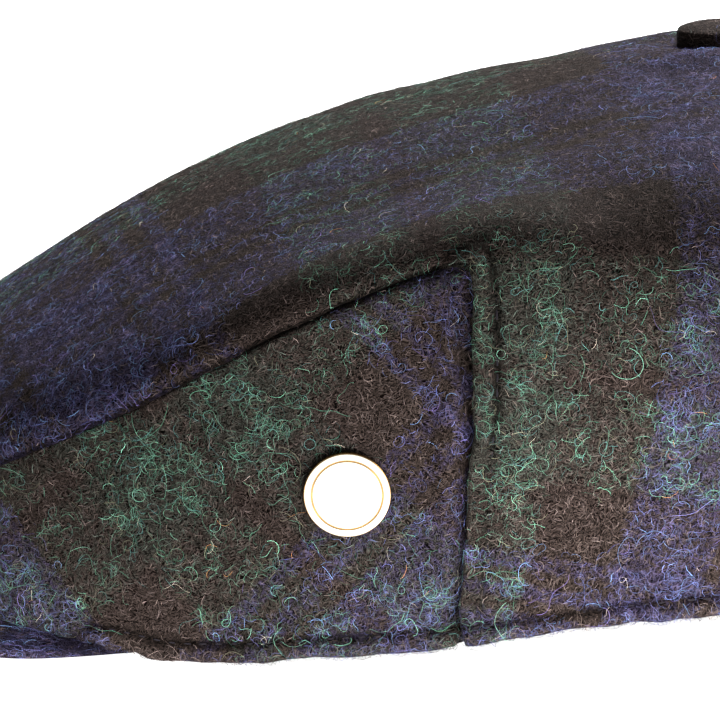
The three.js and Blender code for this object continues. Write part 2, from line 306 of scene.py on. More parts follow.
def makeTweed(name, cut):
    looks = {"Roughness": tweed["roughness"], "Specular IOR Level": tweed["specular"]}
    material, tree, shader = newMaterial(name, looks)
    cloth = addNode(tree, "UVMap", {"uv_map": "cloth"}).outputs[0]
    place = addNode(tree, "TexCoord").outputs["Object"]
    wander = addNoise(tree, place, 2 * tweed["clumpMm"], Detail=3.0, Roughness=0.6)
    pushed = addPush(tree, wander["Color"], 2 * tartan["wander"], cloth)
    turned = addNode(tree, "Mapping", None, {"Vector": pushed},
                     {"Rotation": (0, 0, math.radians(cut["turn"]))})
    ways = addNode(tree, "SeparateXYZ", None, {0: turned.outputs[0]}).outputs
    yarns = [addStripes(tree, ways[way], cut, way) for way in (0, 1)]
    clump = addNoise(tree, place, tweed["clumpMm"], Detail=3.0, Roughness=0.65)
    upper = addRange(tree, clump["Fac"], *tweed["clumpEdge"])
    ground = addNode(tree, "Mix", {"data_type": "RGBA"},
                     {"Factor": upper, "A": yarns[0], "B": yarns[1]}).outputs[2]
    felt = addFelt(tree, place)
    curls = addCurls(tree, place, ground)
    feltLight = addMath(tree, "MULTIPLY_ADD", felt, tweed["feltGain"], tweed["dark"])
    light = addMath(tree, "MULTIPLY_ADD", curls, tweed["curlGain"], feltLight)
    # painted shade: the cloth's colour is darkened in the stitched grooves and along the crown's folded edge, by the
    # mark written in sewCloth
    pressed_and_shaded = addNode(tree, "Attribute", {"attribute_name": "pressed_and_shaded"}).outputs["Fac"]
    kept = addMath(tree, "MULTIPLY_ADD", pressed_and_shaded, -tweed["pressedLoss"], 1)
    lit = addNode(tree, "VectorMath", {"operation": "SCALE"},
                  {0: ground, "Scale": addMath(tree, "MULTIPLY", light, kept)})
    bump = addNode(tree, "Bump", None, {"Height": addMath(tree, "ADD", felt, curls)},
                   {"Distance": tweed["bumpMm"] * mm, "Strength": tweed["bumpStrength"]})
    tree.links.new(lit.outputs[0], shader.inputs["Base Color"])
    tree.links.new(bump.outputs[0], shader.inputs["Normal"])
    return material


def copyOfNode(node, name):  # the node's own mesh, merged, with quads again
    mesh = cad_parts[node].data.copy()
    mesh.name = name
    mesh.materials.clear()
    piece = newPiece(name, mesh)
    only(piece)
    bpy.ops.mesh.customdata_custom_splitnormals_clear()
    enter("EDIT")
    bpy.ops.mesh.select_all(action="SELECT")
    bpy.ops.mesh.remove_doubles(threshold=0.001 * mm)
    bpy.ops.mesh.tris_convert_to_quads(face_threshold=math.pi, shape_threshold=math.pi)
    enter("OBJECT")
    return piece


# where the skins' walls and borders lie, in mm
skin = {
    "headLine": (-70, 60),  # a line on the floor inside the hollow, from front to back
    "lowest": 16,  # borders below this are hem
    "hemFront": -45,
    "seamFront": 10,
    "edgeBack": 23.5,
    "edgeFront": -60,
    "roofHalf": 60,  # half the width of the roof that lines the crown's map up
}


def keepOutside(piece, steepest):  # deletes the inner wall and the cut edges
    mesh = piece.data
    centres = np.array([face.center for face in mesh.polygons])
    normals = np.array([face.normal for face in mesh.polygons])
    core = np.zeros_like(centres)
    core[:, 1] = np.clip(centres[:, 1], *(np.array(skin["headLine"]) * mm))
    outside = ((normals * unit(centres - core)).sum(1) > 0.15) & (np.abs(normals[:, 2]) < steepest)
    selectParts(piece, "FACE", ~outside)
    bpy.ops.mesh.delete(type="FACE")
    enter("OBJECT")


def borderEdges(mesh):  # the ends of all edges, and which have one face
    uses = np.zeros(len(mesh.edges), int)
    np.add.at(uses, loopArray(mesh, "edge_index"), 1)
    ends = np.empty(len(mesh.edges) * 2, int)
    mesh.edges.foreach_get("vertices", ends)
    return ends.reshape(-1, 2), uses == 1


def sewnBorders(piece):  # hem, side seam and folded edge of a skin, as pairs of vertices
    ends, isBorder = borderEdges(piece.data)
    points = vertexArray(piece.data)
    pairs = ends[isBorder]
    step = points[pairs[:, 1]] - points[pairs[:, 0]]
    middle = points[pairs].mean(1)
    upright = np.abs(step[:, 2]) > 0.8 * np.linalg.norm(step, axis=1)
    lengthwise = middle[:, 1]
    low = middle[:, 2] < skin["lowest"] * mm
    onEdge = (lengthwise < skin["edgeBack"] * mm) & (~low | (lengthwise < skin["edgeFront"] * mm))
    return {
        "hem": pairs[~upright & low & (lengthwise > skin["hemFront"] * mm)],
        "seam": pairs[upright & (lengthwise > skin["seamFront"] * mm)],
        "edge": pairs[~upright & onEdge],
    }


def cutBeside(piece, name, rows):  # closer rows along a border
    mesh = piece.data
    ends, isBorder = borderEdges(mesh)
    onBorder = np.zeros(len(mesh.vertices), bool)
    onBorder[np.unique(sewnBorders(piece)[name])] = True
    selectParts(piece, "EDGE", ~isBorder & (onBorder[ends[:, 0]] != onBorder[ends[:, 1]]))
    bpy.ops.mesh.subdivide(number_cuts=rows, quadcorner="STRAIGHT_CUT")
    enter("OBJECT")


def distanceTo(points, starts, stops):  # to the nearest of many straight pieces
    best = np.full(len(points), 1.0)
    for a, b in zip(starts, stops):
        along = b - a
        share = np.clip((points - a) @ along / (along @ along), 0, 1)
        best = np.minimum(best, np.linalg.norm(points - a - share[:, None] * along, axis=1))
    return best


def unwrapCloth(piece, axes, anchors, cut=None):
    # flattens the skin as cloth, in metres, with the map's two ways along axes and its zero lines through the anchors
    mesh = piece.data
    mesh.uv_layers.new(name="cloth")
    points = vertexArray(mesh)
    if cut is not None:
        ends, _ = borderEdges(mesh)
        mesh.edges.foreach_set("use_seam", cut(points[ends[:, 0]]) & cut(points[ends[:, 1]]))
    only(piece)
    enter("EDIT")
    bpy.ops.mesh.select_all(action="SELECT")
    bpy.ops.uv.unwrap(method="ANGLE_BASED", margin=0)
    bpy.ops.uv.minimize_stretch(fill_holes=False, iterations=60)
    enter("OBJECT")
    flat = mapArray(mesh)
    following = np.empty(len(mesh.loops), int)
    for face in mesh.polygons:
        run = np.arange(face.loop_start, face.loop_start + face.loop_total)
        following[run] = np.roll(run, -1)
    places = points[loopArray(mesh)]
    real = np.linalg.norm(places[following] - places, axis=1).sum()
    drawn = np.linalg.norm(flat[following] - flat, axis=1).sum()
    fitted = np.abs(places[:, 0]) < (skin["roofHalf"] * mm if cut is not None else np.inf)
    plan = places[fitted][:, axes]
    fit, *_ = np.linalg.lstsq(flat[fitted] - flat[fitted].mean(0), plan - plan.mean(0), rcond=None)
    u, _, v = np.linalg.svd(fit)
    flat = flat @ (u @ v) * (real / drawn)
    for way, anchor in enumerate(anchors):
        nearest = np.linalg.norm(places - np.array(anchor) * mm, axis=1).argmin()
        flat[:, way] -= flat[nearest, way]
    mesh.uv_layers["cloth"].data.foreach_set("uv", flat.ravel())


# how the cloth is sewn: sizes in mm
sewing = {
    "cloth": 2.2,
    "hemStitch": 3.3,  # from the hem's fold up to its stitching
    "seamStitch": 4.6,  # from the side seam back to its topstitching
    "groove": 0.7,  # width of a stitched groove
    "lump": 5.0,  # spacing of the hem's lumps
    "knot": 3.0,  # and of the side seam's
    "ripple": 16.0,  # soft unevenness of the whole cloth
    "rippleHeight": 0.35,
    "tucked": 0.9,  # how far the panel sinks where the crown lies over it
    "overlap": 3,  # how far outside the panel the crown's cloth lies
    "footCrease": 0.15,
    "backFrom": 73,  # where the seam down the back begins
    "buttonAt": (0, 60.5, 100),
    "roofFrom": (55, 80),  # heights above which the roof is filled, and swells beside the button
    "hemDrop": (  # how far the hem hangs, by place from front to back
        (-45, -33, -5, 10, 20, 31, 42, 50, 57, 68, 100),
        (0, 0.9, 0.1, 1.3, 0.9, 0, 0.3, 0.8, 1.9, 1.9, 0),
    ),
    "roofFill": ((-90, -62, -26, -10, 0, 25, 42), (0, 0.7, 0.8, 0.4, -0.3, -0.9, 0)),
}
# ridges and grooves: height, middle and width of a hump across the distance from a border or a place, in mm
forms = {
    "hemPuff": (0.35, 0.45 * sewing["hemStitch"], 1.5),
    "hemGroove": (0.9, sewing["hemStitch"], sewing["groove"]),
    "hemLumps": (0.9, 1.2, 2.2),
    "hemHang": (1, 0, 5),
    "seamPuff": (0.45, 0.5 * sewing["seamStitch"], 1.6),
    "seamGroove": (0.75, sewing["seamStitch"], sewing["groove"]),
    "backGroove": (0.6, 0, 1.1),
    "edgePuff": (0.2, 3.2, 2.6),
    "edgeWobble": (0.45, 0, 2.5),
    "buttonPuff": (0.5, 16, 6.5),  # the cloth swells round the button
    "buttonSides": (1.6, 14, 5),  # and more so to its left and right
    "panelRise": (1.2, 3.2, 3.0),  # the panel comes up beside the side seam
    "panelDip": (1.0, 0, 1.1),  # goes down under it
    "panelFill": (2.0, 0.6, 4.5),  # and comes up under the crown's folded edge
    "panelKick": (2.2, -12, 11),  # its hem stands out under the badge
    "panelBelly": (1.6, -37, 12),  # and it swells in front of that
    "bellyHeight": (1, 15, 8),
}
# how wide the nap is pressed flat, and shade painted into the cloth's colour, beside each line, in mm
pressedWidth = {"hem": 0.8, "seam": 0.8, "back": 0.9, "panelEdge": 0.6, "crownEdge": 0.4}


def hump(distance, middle, width):
    return np.exp(-(((distance - middle) / width) ** 2))


def form(name, distance):
    height, middle, width = forms[name]
    return height * hump(distance, middle, width)


def fadeIn(distance, reach):
    return np.clip(distance / reach, 0, 1)


def noiseAt(points, sizeMm, seed):
    shift = Vector((seed, 2.7 * seed, 0.6 * seed))
    return np.array([noise.noise(Vector(p) / (sizeMm * mm) + shift) for p in points])


def markDistances(piece, borders):
    points = vertexArray(piece.data)
    for name, pairs in borders.items():
        writeMark(piece.data, name, distanceTo(points, points[pairs[:, 0]], points[pairs[:, 1]]) / mm)


def rimCurve(name, along, across):  # one of the crown's borders, for np.interp
    ends = crownRims[name].reshape(-1, 3)
    ends = ends[np.argsort(ends[:, along])]
    return ends[:, along], ends[:, across]


def panelLift(lift, points, marks, lumps):
    hem, seam, edge = marks
    lift += (form("panelRise", seam) * (1 + 0.4 * lumps) - form("panelDip", seam)) * fadeIn(hem - 2, 6)
    lift += form("panelFill", edge) * fadeIn(seam, 6) * (1 + 0.3 * lumps)
    behind = points[:, 1] - np.interp(points[:, 2], *rimCurve("seam", 2, 1))
    above = points[:, 2] - np.interp(points[:, 1], *rimCurve("edge", 1, 2))
    covered = np.clip(np.maximum(behind, above) / mm + 0.5, 0, 1)
    return lift * (1 - covered) - sewing["tucked"] * covered


def crownLift(lift, points, marks, lumps, back, seed):
    hem, seam, edge = marks
    knots = noiseAt(points, sewing["knot"], seed + 7)
    ridge = form("seamPuff", seam) * (1 + knots) - form("seamGroove", seam) * (0.8 + knots)
    lift += ridge * fadeIn(hem, 6) - form("backGroove", back)
    fillFrom, swellFrom = sewing["roofFrom"]
    fromButton = np.maximum(np.hypot(points[:, 0], points[:, 1] - sewing["buttonAt"][1] * mm) / mm, 0.1)
    sideways = (points[:, 0] / mm / fromButton) ** 2
    swell = form("buttonPuff", fromButton) + form("buttonSides", fromButton) * sideways
    lift += swell * (points[:, 2] > swellFrom * mm)
    lift += np.interp(points[:, 1] / mm, *sewing["roofFill"]) * fadeIn(points[:, 2] / mm - fillFrom, 20)
    return lift + form("edgePuff", edge) * (1 + 0.5 * lumps)


def sewCloth(piece, seed, isPanel, levels):  # thickness, rounding, then ridges and grooves on the outside
    foot = (readMark(piece.data, "hem") < 0.5) & (readMark(piece.data, "seam") < 0.5) & (not isPanel)
    writeMark(piece.data, "crease_vert", sewing["footCrease"] * foot)
    piece.vertex_groups.new(name="inside")
    applyModifier(piece, "SOLIDIFY", {"thickness": sewing["cloth"] * mm, "offset": -1, "use_even_offset": True,
                                      "shell_vertex_group": "inside"})
    writeMark(piece.data, "inner", [float(len(vertex.groups) > 0) for vertex in piece.data.vertices])
    piece.vertex_groups.clear()
    applyModifier(piece, "SUBSURF", {"levels": levels, "render_levels": levels, "boundary_smooth": "PRESERVE_CORNERS"})
    mesh = piece.data
    points, normals = vertexArray(mesh), vertexArray(mesh, "normal")
    hem, seam, edge = marks = [readMark(mesh, name) for name in ("hem", "seam", "edge")]
    lumps = noiseAt(points, sewing["lump"], seed)
    onBack = (points[:, 1] > sewing["backFrom"] * mm) & (not isPanel)
    back = np.where(onBack, np.abs(points[:, 0]) / mm, np.inf)
    lift = sewing["rippleHeight"] * noiseAt(points, sewing["ripple"], seed + 3)
    lift += form("hemPuff", hem) - form("hemGroove", hem) * (0.75 + 0.5 * lumps) + form("hemLumps", hem) * lumps
    if isPanel:
        lift = panelLift(lift, points, marks, lumps)
    else:
        lift = crownLift(lift, points, marks, lumps, back, seed)
    points += normals * (lift * mm * (1 - readMark(mesh, "inner")))[:, None]
    lengthwise = points[:, 1] / mm
    if isPanel:
        out = form("panelKick", lengthwise) * np.clip(1 - hem / 18, 0, 1)
        out += form("panelBelly", lengthwise) * form("bellyHeight", hem)
        points[:, 0] += np.sign(points[:, 0]) * out * mm
    else:  # the crown's edge is not quite straight between stitches
        points[:, 1] -= form("edgeWobble", seam) * lumps * mm
        points[:, 2] += form("edgeWobble", edge) * lumps * mm
    points[:, 2] -= np.interp(points[:, 1] / mm, *sewing["hemDrop"]) * form("hemHang", hem) * mm
    points[:, 2] = np.maximum(points[:, 2], 0)
    mesh.vertices.foreach_set("co", points.ravel())
    # painted shade in the hem's, seam's and back's grooves and on both sides of the crown's folded edge; the same mark
    # also thins the nap there
    pressed_and_shaded = [
        hump(hem, sewing["hemStitch"], pressedWidth["hem"]),
        hump(seam, 0 if isPanel else sewing["seamStitch"], pressedWidth["seam"]) * (0.4 + 0.6 * fadeIn(hem, 25)),
        hump(back, 0, pressedWidth["back"]),
        hump(edge, 0, pressedWidth["panelEdge" if isPanel else "crownEdge"]),
    ]
    writeMark(mesh, "pressed_and_shaded", np.max(pressed_and_shaded, axis=0))
    mesh.update()
    smooth(piece)


def dress(piece, node):
    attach(piece, "root")
    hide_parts(node)
    print(piece.name, len(piece.data.polygons), "faces")


# crown: one skin over the top, back and sides, cut down the middle of the back
crown = copyOfNode("crown", "crown_cloth")
keepOutside(crown, 2)
unwrapCloth(crown, (1, 0), ((84, 18, 75), (80, 45, 55)),
            lambda p: (np.abs(p[:, 0]) < 0.2 * mm) & (p[:, 1] > 62 * mm))
cutBeside(crown, "hem", 3)
cutBeside(crown, "seam", 3)
crownBorders = sewnBorders(crown)
markDistances(crown, crownBorders)
crownRims = {name: vertexArray(crown.data)[crownBorders[name]] for name in ("seam", "edge")}
sewCloth(crown, 1, False, 2)
crown.data.materials.append(makeTweed("milled_wool_tartan_crown", cuts["crown"]))
dress(crown, "crown")

# side panels, cut on the bias
panels = {}
for side, node in ((1, "left_side_panel"), (-1, "right_side_panel")):
    panel = copyOfNode(node, node.replace("side_panel", "panel_cloth"))
    keepOutside(panel, 0.75)
    unwrapCloth(panel, (1, 2), ((83 * side, 6.7, 49),) * 2)
    cutBeside(panel, "hem", 3)
    markDistances(panel, {"hem": sewnBorders(panel)["hem"]})
    for name, rim in crownRims.items():  # measured along the cloth, not through the gap between the two
        toRim = distanceTo(vertexArray(panel.data), rim[:, 0], rim[:, 1]) / mm
        writeMark(panel.data, name, np.sqrt(np.maximum(toRim ** 2 - sewing["overlap"] ** 2, 0)))
    sewCloth(panel, 5 + side, True, 3)
    panel.data.materials.append(makeTweed("milled_wool_tartan_" + node, cuts[node]))
    dress(panel, node)
    panels[side] = panel


def planMap(piece):  # the cloth map seen from above, for pieces that lie nearly flat
    mesh = piece.data
    plan = vertexArray(mesh)[loopArray(mesh)][:, [1, 0]]
    mesh.uv_layers.new(name="cloth").data.foreach_set("uv", plan.ravel())
    for name in ("inner", "pressed_and_shaded"):
        writeMark(mesh, name, np.zeros(len(mesh.vertices)))


# peak and top button, covered in the same cloth: sizes in mm
peakShape = {
    "edge": 0.9,
    "sides": (50, 28),  # distance from the middle where the sides begin, and their width
    "lower": 0.8,
    "flare": ((-126, -105, -85, -70, -60, -52, -45, -38), (0, 2, 4.5, 6, 5.5, 2, -1.5, -5)),  # by place from the front
}
peak = copyOfNode("peak", "peak_cloth")
peakPoints = vertexArray(peak.data)
inner, width = peakShape["sides"]
outerShare = np.clip((np.abs(peakPoints[:, 0]) / mm - inner) / width, 0, 1) ** 1.5
flare = np.interp(peakPoints[:, 1] / mm, *peakShape["flare"]) * mm
peakPoints[:, 0] += np.sign(peakPoints[:, 0]) * outerShare * flare
peakPoints[:, 2] = np.maximum(peakPoints[:, 2] - peakShape["lower"] * mm * outerShare, 0)
peak.data.vertices.foreach_set("co", peakPoints.ravel())
applyModifier(peak, "BEVEL", {"width": peakShape["edge"] * mm, "segments": 2, "limit_method": "ANGLE",
                              "angle_limit": math.radians(40)})
applyModifier(peak, "SUBSURF", {"levels": 2, "render_levels": 2})
planMap(peak)
smooth(peak)
peak.data.materials.append(makeTweed("milled_wool_tartan_peak", cuts["peak"]))
dress(peak, "peak")

buttonShape = {"footTop": 101.65, "sunk": 2.5, "flatter": 0.35}  # its foot goes into the cloth
button = copyOfNode("top_button", "top_button_cloth")
buttonPoints = vertexArray(button.data)
height = buttonPoints[:, 2]
raised = buttonShape["flatter"] * (height.max() - height)
buttonPoints[:, 2] += np.where(height < buttonShape["footTop"] * mm, -buttonShape["sunk"] * mm, raised)
button.data.vertices.foreach_set("co", buttonPoints.ravel())
applyModifier(button, "SUBSURF", {"levels": 2, "render_levels": 2})
planMap(button)
smooth(button)
button.data.materials.append(makeTweed("milled_wool_tartan_button", cuts["top_button"]))
dress(button, "top_button")

# badge: a turned and polished disc, its edge rounded, one fine ring cut near the rim: sizes in mm
badge = {"rim": 1.0, "ring": 0.12, "ringDepth": 0.07, "edge": 0.28, "edgeReach": 0.5, "sides": 96}
badgeNode = vertexArray(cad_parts["badge"].data)
badgeAt = (badgeNode.min(0) + badgeNode.max(0)) / 2
_, ways = np.linalg.eigh(np.cov((badgeNode - badgeAt).T))
facing = Vector(ways[:, 0]) * (1 if ways[0, 0] > 0 else -1)
offsets = (badgeNode - badgeAt) @ np.array(facing)
radius = np.linalg.norm(np.cross(badgeNode - badgeAt, np.array(facing)), axis=1).max()
bpy.ops.object.select_all(action="DESELECT")
bpy.ops.mesh.primitive_cylinder_add(
    vertices=badge["sides"], radius=radius, depth=offsets.max() - offsets.min(),
    location=Vector(badgeAt) + facing * (offsets.max() + offsets.min()) / 2,
    rotation=facing.to_track_quat("Z", "Y").to_euler())
plate = bpy.context.object
plate.name = plate.data.name = "badge_plate"
bpy.ops.object.transform_apply(location=True, rotation=True, scale=True)
selectParts(plate, "FACE", [abs(face.normal.dot(facing)) > 0.9 for face in plate.data.polygons])
bpy.ops.mesh.bevel(offset=badge["edge"] * mm, segments=4, affect="EDGES")
enter("OBJECT")
selectParts(plate, "FACE", [face.normal.dot(facing) > 0.9 and len(face.vertices) > 8 for face in plate.data.polygons])
bpy.ops.mesh.inset(thickness=badge["rim"] * mm)
for sink in (-badge["ringDepth"], 0, badge["ringDepth"]):
    bpy.ops.mesh.inset(thickness=badge["ring"] * mm, depth=sink * mm)
enter("OBJECT")
bpy.ops.object.shade_smooth_by_angle(angle=math.radians(25))


def makeMetal(name, colour, markMm, detail, roughness):  # fine marks make the gloss a little uneven
    material, tree, shader = newMaterial(name, {"Base Color": linear(colour) + [1], "Metallic": 1})
    place = addNode(tree, "TexCoord").outputs["Object"]
    marks = addNoise(tree, place, markMm, Detail=detail)
    tree.links.new(addRange(tree, marks["Fac"], 0, 1, roughness), shader.inputs["Roughness"])
    return material


# polished gilt brass: a pale gold mirror with a breath of fine wiping marks
plate.data.materials.append(makeMetal("polished_gilt_brass", "#f9eed8", 0.6, 4.0, (0.12, 0.24)))
# bare brass: a deeper gold on the rounded edge and in the cut ring
plate.data.materials.append(makeMetal("rubbed_brass_edge", "#bd965c", 0.6, 4.0, (0.12, 0.24)))
for face in plate.data.polygons:
    inward = radius / mm - (face.center - Vector(badgeAt)).cross(facing).length / mm
    onRing = 0 < inward - badge["edge"] - badge["rim"] < 3 * badge["ring"]
    onEdge = face.normal.dot(facing) < 0.85 and inward < badge["edgeReach"]
    face.material_index = int(onRing or onEdge)
dress(plate, "badge")

# drawn steel: plain grey, half matt, on the rivet, which keeps its solid
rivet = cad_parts["badge_rivet"]
rivet.material_slots[0].material = makeMetal("drawn_steel", "#c4c4c2", 0.3, 2.0, (0.3, 0.5))

# sewing thread in the hem's and the seams' grooves: sizes in mm
thread = {
    "pitch": 2.9, "length": 2.3, "radius": 0.19, "sides": 5, "steps": 4, "dip": 0.4, "arch": -0.02,
    "first": 1.0,  # where a row's first stitch begins
    "steady": 7,  # points that are averaged along a row
    "seamFrom": 5,  # how far above the floor the side seam's row begins
    "panelTo": 17,  # how far back the panel's row goes
    "turnAt": 20,  # the place that the hem's row goes round
}


def stitchLine(piece, mark, distance, order, keep):  # points and normals where a mark takes one value, in order
    mesh = piece.data
    ends, _ = borderEdges(mesh)
    both = np.concatenate([vertexArray(mesh), vertexArray(mesh, "normal")], 1)
    value = readMark(mesh, mark) - distance
    crossing = (value[ends[:, 0]] * value[ends[:, 1]] < 0) & (readMark(mesh, "inner")[ends].max(1) < 0.3)
    a, b = ends[crossing].T
    line = both[a] + (both[b] - both[a]) * (value[a] / (value[a] - value[b]))[:, None]
    line = line[keep(line)]
    line = line[np.argsort(order(line))]
    window = np.ones(thread["steady"]) / thread["steady"]
    padded = np.pad(line, ((thread["steady"] // 2,) * 2, (0, 0)), mode="edge")
    return np.stack([np.convolve(column, window, mode="valid") for column in padded.T], 1)


def sewLine(line):  # vertices and faces of a row of stitches
    along = np.concatenate([[0], np.cumsum(np.linalg.norm(np.diff(line[:, :3], axis=0), axis=1))]) / mm
    rings, faces = [], []
    sides, steps = thread["sides"], thread["steps"]
    turns = np.linspace(0, 2 * math.pi, sides, endpoint=False)[:, None]
    height = (thread["arch"] + thread["dip"]) * np.sin(np.linspace(0, math.pi, steps + 1)) - thread["dip"]
    for start in np.arange(thread["first"], along[-1] - thread["length"], thread["pitch"]):
        stops = np.linspace(start, start + thread["length"], steps + 1)
        at = np.stack([np.interp(stops, along, line[:, i]) for i in range(6)], 1)
        up = unit(at[:, 3:])
        path = at[:, :3] + up * (height * mm)[:, None]
        across = unit(np.cross(np.gradient(path, axis=0), up))
        first = len(rings) * sides
        for i in range(steps + 1):
            rings.append(path[i] + thread["radius"] * mm * (np.cos(turns) * across[i] + np.sin(turns) * up[i]))
        for i in range(steps):
            for k in range(sides):
                low, nextLow = first + i * sides + k, first + i * sides + (k + 1) % sides
                faces.append((low, nextLow, nextLow + sides, low + sides))
        faces.append(tuple(range(first, first + sides))[::-1])
        faces.append(tuple(range(first + steps * sides, first + (steps + 1) * sides)))
    return np.concatenate(rings), faces


rows = [stitchLine(
    crown, "hem", sewing["hemStitch"],
    lambda line: np.arctan2(line[:, 0], thread["turnAt"] * mm - line[:, 1]) % (2 * math.pi),
    lambda line: np.ones(len(line), bool))]
for side in (1, -1):
    rows.append(stitchLine(
        crown, "seam", sewing["seamStitch"], lambda line: line[:, 2],
        lambda line: (line[:, 0] * side > 0) & (line[:, 2] > thread["seamFrom"] * mm)))
    rows.append(stitchLine(
        panels[side], "hem", sewing["hemStitch"], lambda line: line[:, 1],
        lambda line: line[:, 1] < thread["panelTo"] * mm))
stitchPoints, stitchFaces, used = [], [], 0
for row in rows:
    rowPoints, rowFaces = sewLine(row)
    stitchFaces += [tuple(i + used for i in face) for face in rowFaces]
    stitchPoints.append(rowPoints)
    used += len(rowPoints)
stitchMesh = bpy.data.meshes.new("hem_and_seam_stitches")
stitchMesh.from_pydata(np.concatenate(stitchPoints).tolist(), [], stitchFaces)
stitches = newPiece("hem_and_seam_stitches", stitchMesh)
only(stitches)
enter("EDIT")
bpy.ops.mesh.select_all(action="SELECT")
bpy.ops.mesh.normals_make_consistent(inside=False)
enter("OBJECT")
bpy.ops.object.shade_smooth()
# spun polyester thread: near black, a little glossier than the wool, hairy
spun, spunTree, spunShader = newMaterial("spun_polyester_thread", {"Roughness": 0.6, "Specular IOR Level": 0.08})
spunPlace = addNode(spunTree, "TexCoord").outputs["Object"]
hairs = addNoise(spunTree, spunPlace, 0.18, Detail=2.0)["Fac"]
spunColour = addNode(spunTree, "ValToRGB", None, {0: hairs})
spunColour.color_ramp.elements[0].color = linear("#0c0b0e") + [1]
spunColour.color_ramp.elements[1].color = linear("#1d1a1e") + [1]
spunBump = addNode(spunTree, "Bump", None, {"Height": hairs}, {"Distance": 0.08 * mm, "Strength": 0.8})
spunTree.links.new(spunColour.outputs[0], spunShader.inputs["Base Color"])
spunTree.links.new(spunBump.outputs[0], spunShader.inputs["Normal"])
stitchMesh.materials.append(spun)
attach(stitches, "root")
print("stitches:", len(stitchFaces) // (thread["steps"] * thread["sides"] + 2))

# the nap: felted short fibres, curls and a few long strays, all as thin ribbons: sizes in mm
nap = {
    "felt": {
        "black": ("#493f3b", "#3d3432", "#554a46", "#332b29", "#2a2423", "#615552"),
        "green": ("#424842", "#373e39", "#4d554e", "#463e3a", "#332b28", "#514742"),
        "blue": ("#434664", "#383b5a", "#4d4e6c", "#4a403b", "#332b28", "#484a66"),
    },
    "curls": {
        "black": ("#4e443f", "#433a35", "#594e49"),
        "green": ("#3f6352", "#345545", "#4d7764", "#3f6462", "#5a8371", "#5c5a4a"),
        "blue": ("#414a6f", "#505b83", "#3b3e65", "#514670", "#546e90", "#56557f"),
    },
    "flecks": ("#b8ac9c", "#b07a48"),  # undyed and burnt orange
    # overhang is how far a fibre may pass a border, spread how much one differs from the next in brightness
    "kinds": {
        "mat": {
            "palette": "felt", "perMm2": 1.5, "length": (0.6, 2.0), "width": 0.052, "steps": 2, "rise": (0.03, 0.2),
            "bend": (0, 0.8), "swing": 0.4, "wave": (2, 5), "overhang": 0.3, "gain": 0.86, "spread": 0.42,
        },
        "curl": {
            "palette": "curls", "perMm2": 0.75, "length": (1.4, 3.6), "width": 0.034, "steps": 5, "rise": (0.06, 0.35),
            "bend": (0, 1.1), "swing": 0.8, "wave": (2, 5), "overhang": 0.5, "gain": 1.05, "spread": 0.45,
        },
        "loop": {
            "palette": "curls", "perMm2": 0.4, "length": (2.6, 7.4), "width": 0.03, "steps": 12, "rise": (0.1, 0.45),
            "bend": (0.1, 1.25), "swing": 0.7, "wave": (3, 7), "overhang": 0.8, "gain": 1.1, "spread": 0.42,
        },
        "stray": {
            "palette": "curls", "perMm2": 0.008, "length": (5, 12), "width": 0.045, "steps": 12, "rise": (0.2, 0.8),
            "bend": (0, 0.35), "swing": 0.4, "wave": (4, 9), "overhang": 0.6, "gain": 1.25, "spread": 0.3,
        },
        "fringe": {
            "palette": "felt", "perMm2": 2.2, "length": (1.5, 4.5), "width": 0.06, "steps": 5, "rise": (0.1, 0.8),
            "bend": (0, 0.9), "swing": 0.6, "wave": (3, 7), "overhang": 1.1, "gain": 1.0, "spread": 0.4,
        },
    },
    "cluster": 6.0,  # curls gather in patches of about this size
    "clusterShare": (0.62, 1.5),  # share of curls kept on the whole, and how much patches differ
    "blackCurls": 0.05,  # share of curls that the black stripes keep
    "fleckShare": 0.009,
    "blend": 1.1,  # how far a fibre strays from its own stripe
    "pressedLoss": 0.9,  # share of fibres missing in the stitched grooves
    "jitter": 0.04,  # unevenness of a fibre's height
    "lowest": 0.03,  # height of its ends
    "floorGap": 0.1,
    "tilt": 0.9,  # how far, in radians, a ribbon leans
    "widths": (0.75, 1.2),
    "hemReach": 1.6,  # how far up from the hem's fold the fringe grows
    "unseen": 0.4,  # share of fibres kept on the side away from the photograph
    "along": ((-95, -76, 70, 90), (0.55, 1, 1, 0.5)),  # and from front to back, all of it where the photograph looks
    "roofFrom": 76,
    "density": {"roof": 0.8, "wall": 1.2, "panel": 1.15, "peakTop": 0.8, "peakUnder": 0.2},
    "bare": {"button": 8, "badge": 8.2},  # radius that is left free round each
    "seeds": {"felt": 10, "curls": 20, "panel": 40, "peak": 50, "button": 60},
}


def triangleTable(mesh):  # vertices and corners of each triangle
    mesh.calc_loop_triangles()
    table = []
    for key in ("vertices", "loops"):
        values = np.empty(len(mesh.loop_triangles) * 3, int)
        mesh.loop_triangles.foreach_get(key, values)
        table.append(values.reshape(-1, 3))
    return table


